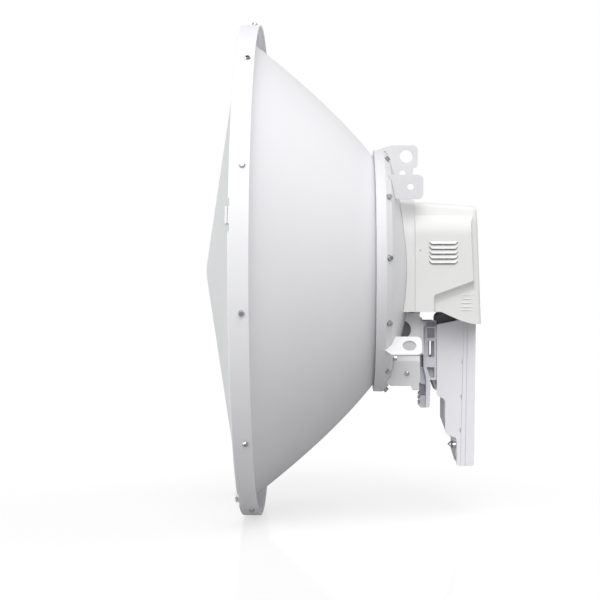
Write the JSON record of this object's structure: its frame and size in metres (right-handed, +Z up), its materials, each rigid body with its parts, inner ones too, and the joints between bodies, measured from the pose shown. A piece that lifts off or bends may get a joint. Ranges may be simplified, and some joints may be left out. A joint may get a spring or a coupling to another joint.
{
  "type": "wireless bridge dish antenna",
  "caption": "Shrouded microwave dish antenna with a conical radome, rim hoop, deep reflector, rear bracket ears, a vented radio cover and a clip-on slab radio.",
  "frame": {"origin": "on the outer face of the near bracket cheek, where the pole bracket is bolted on", "axes": "+X along the level dish axis towards the radio, away from the radome; +Z up; -Y out of the pole bracket's face"},
  "size_m": [0.3614, 0.65, 0.65],
  "materials": {
    "white_paint": "smooth white powder coat on sheet metal",
    "bracket_paint": "fine white powder coat",
    "radome_plastic": "matt light grey moulded plastic",
    "cover_plastic": "warm white moulded plastic with a fine grain",
    "mount_plastic": "cool light grey moulded plastic",
    "radio_plastic": "satin cool white moulded plastic",
    "core_metal": "die-cast, dull grey",
    "black_plastic": "matt black moulded plastic",
    "plated_steel": "bright zinc plate"
  },
  "bodies": {
    "root": {"radome": "radome_plastic", "rim_hoop": "white_paint", "rim_clip_1": "white_paint", "rim_clip_2": "white_paint", "rim_clip_3": "white_paint", "rim_clip_4": "white_paint", "rim_clip_5": "white_paint", "reflector": "white_paint", "hub_ring": "bracket_paint", "hub_plate": "bracket_paint", "bracket_cheek_near": "bracket_paint", "bracket_cheek_far": "bracket_paint", "side_ear_upper_near": "bracket_paint", "side_ear_lower_far": "bracket_paint", "top_ear_far": "bracket_paint", "slant_ear_lower_near": "bracket_paint", "slant_ear_upper_far": "bracket_paint", "mount_cross_plate": "bracket_paint", "cover_collar": "cover_plastic", "cover_shell": "cover_plastic", "radio_mount_spine": "mount_plastic", "radio_mount_cheek_near": "mount_plastic", "radio_mount_cheek_far": "mount_plastic", "radio_latch": "mount_plastic", "radio_core": "core_metal", "radio_side_near": "radio_plastic", "radio_side_far": "radio_plastic", "radio_band": "radio_plastic", "radio_rear_shell": "radio_plastic", "feed_adapter": "black_plastic", "ground_screw": "plated_steel"}
  },
  "joints": []
}
